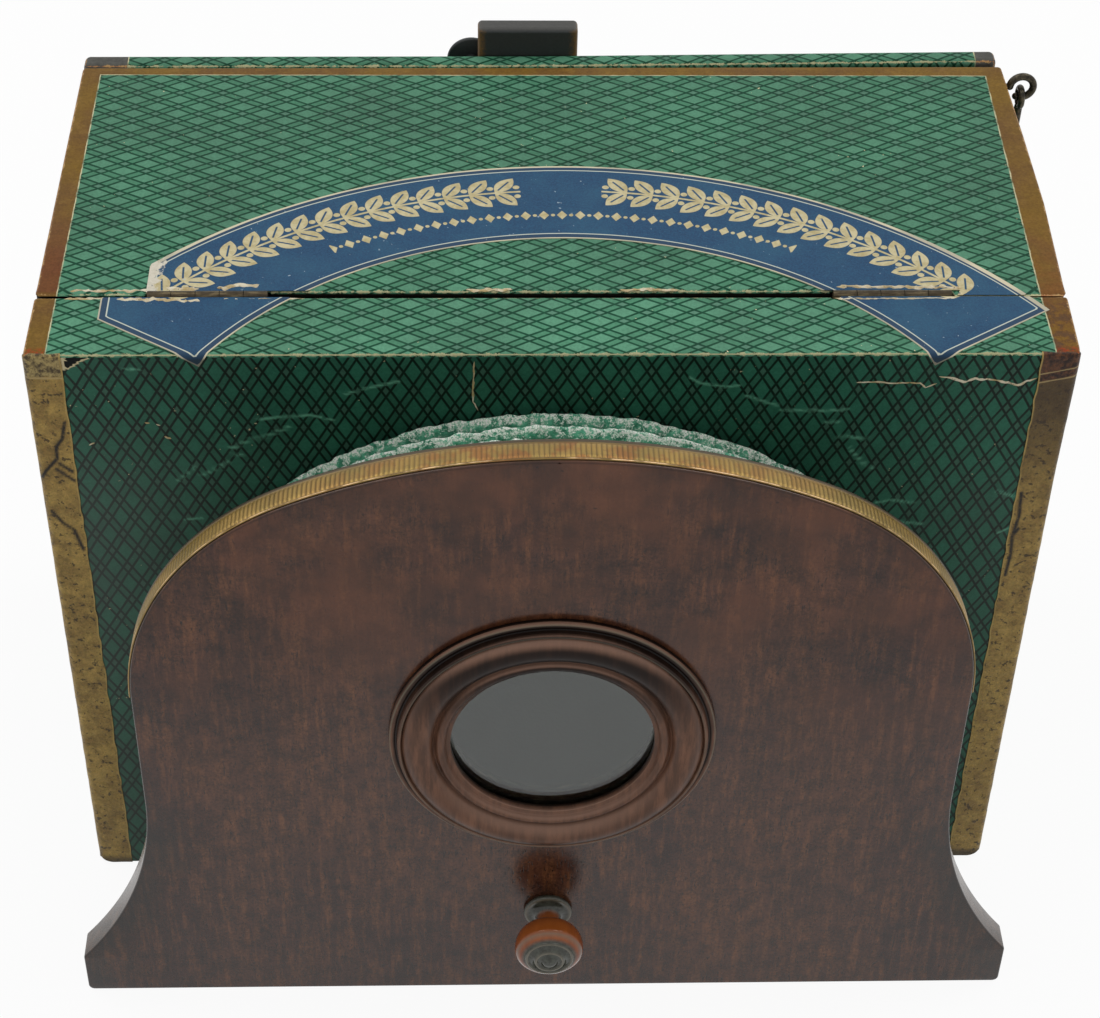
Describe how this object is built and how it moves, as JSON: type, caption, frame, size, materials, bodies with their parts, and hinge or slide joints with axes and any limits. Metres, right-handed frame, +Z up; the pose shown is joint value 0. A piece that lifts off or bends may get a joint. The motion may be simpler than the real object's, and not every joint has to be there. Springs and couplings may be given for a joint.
{
  "type": "polyorama panoptique",
  "caption": "Paper-covered box viewer for transparent prints, with a hinged lid, a rear door, paper bellows and a standing arched wooden lens board with a focusing knob.",
  "frame": {"origin": "centre of the box's underside, on the table", "axes": "+X to the user's right, +Y from the lens towards the rear door, +Z up"},
  "size_m": [0.2506, 0.1966, 0.1824],
  "materials": {
    "papered_board": "thin board covered with green patterned paper, rubbed",
    "papered_front": "thin board covered with dark green patterned paper, creased",
    "black_lining": "matt black paper",
    "white_lining": "aged white paper",
    "brown_edging": "brown binding paper, rubbed and cracked",
    "blue_label": "printed blue paper, worn",
    "plain_wood": "plain dark wood",
    "hinge_brass": "tarnished brass",
    "bellows_paper": "folded green paper on cloth, frayed along the folds",
    "dark_iron": "dark iron wire",
    "blackened_wood": "blackened wood, brown where rubbed",
    "polished_mahogany": "dark mahogany, french polished",
    "turned_mahogany": "turned dark mahogany, polished",
    "turned_knob": "turned red-brown wood, polished",
    "gilt_strip": "milled gilt strip, dulled",
    "lens_glass": "clear ground glass lens"
  },
  "bodies": {
    "case": {"case_floor": "papered_board", "left_wall": "papered_board", "right_wall": "papered_board", "front_panel": "papered_front", "top_strip": "papered_board", "cabin_lining": "black_lining", "left_front_rail": "plain_wood", "left_rear_rail": "plain_wood", "right_front_rail": "plain_wood", "right_rear_rail": "plain_wood", "left_front_edging": "brown_edging", "right_front_edging": "brown_edging", "strip_edging": "brown_edging", "strip_label": "blue_label", "left_lid_hinge_fixed_leaf": "hinge_brass", "right_lid_hinge_fixed_leaf": "hinge_brass", "left_lid_hinge_pin": "hinge_brass", "right_lid_hinge_pin": "hinge_brass", "lid_hinge_fixed_nails": "hinge_brass", "left_door_hinge_fixed_leaf": "hinge_brass", "right_door_hinge_fixed_leaf": "hinge_brass", "left_door_hinge_pin": "hinge_brass", "right_door_hinge_pin": "hinge_brass", "door_hinge_fixed_nails": "hinge_brass", "bellows_rear_frame": "plain_wood", "bellows": "bellows_paper", "side_stud": "hinge_brass"},
    "lid": {"lid_panel": "papered_board", "lid_lining": "white_lining", "lid_edging": "brown_edging", "lid_label": "blue_label", "left_lid_hinge_moving_leaf": "hinge_brass", "right_lid_hinge_moving_leaf": "hinge_brass", "lid_hinge_moving_nails": "hinge_brass", "lid_screw_eye": "dark_iron"},
    "door": {"door_panel": "papered_board", "door_lining": "white_lining", "door_edging": "brown_edging", "door_tab": "blackened_wood", "door_tab_screws": "hinge_brass", "door_knob": "blackened_wood", "left_door_hinge_moving_leaf": "hinge_brass", "right_door_hinge_moving_leaf": "hinge_brass", "door_hinge_moving_nails": "hinge_brass"},
    "lens_standard": {"lens_board": "polished_mahogany", "gilt_edging": "gilt_strip", "lens_moulding": "turned_mahogany", "lens": "lens_glass", "lens_retaining_ring": "hinge_brass", "focus_knob": "turned_knob", "bellows_front_frame": "plain_wood"},
    "hook": {"side_hook": "dark_iron"}
  },
  "joints": [
    {"name": "lid_hinge", "type": "hinge", "parent": "case", "child": "lid", "pos_m": [0, -0.03765, 0.175], "axis": [1, 0, 0], "range_deg": [0, 105]},
    {"name": "door_hinge", "type": "hinge", "parent": "case", "child": "door", "pos_m": [0, 0.06615, 0.006], "axis": [-1, 0, 0], "range_deg": [0, 88]},
    {"name": "lens_board_slide", "type": "slide", "parent": "case", "child": "lens_standard", "axis": [0, -1, 0], "range_m": [-0.02, 0.045], "deforming": ["bellows"]},
    {"name": "hook_swing", "type": "hinge", "parent": "lid", "child": "hook", "pos_m": [0.1262, 0.05555, 0.1699], "axis": [1, 0, 0], "range_deg": [-100, 100]}
  ]
}
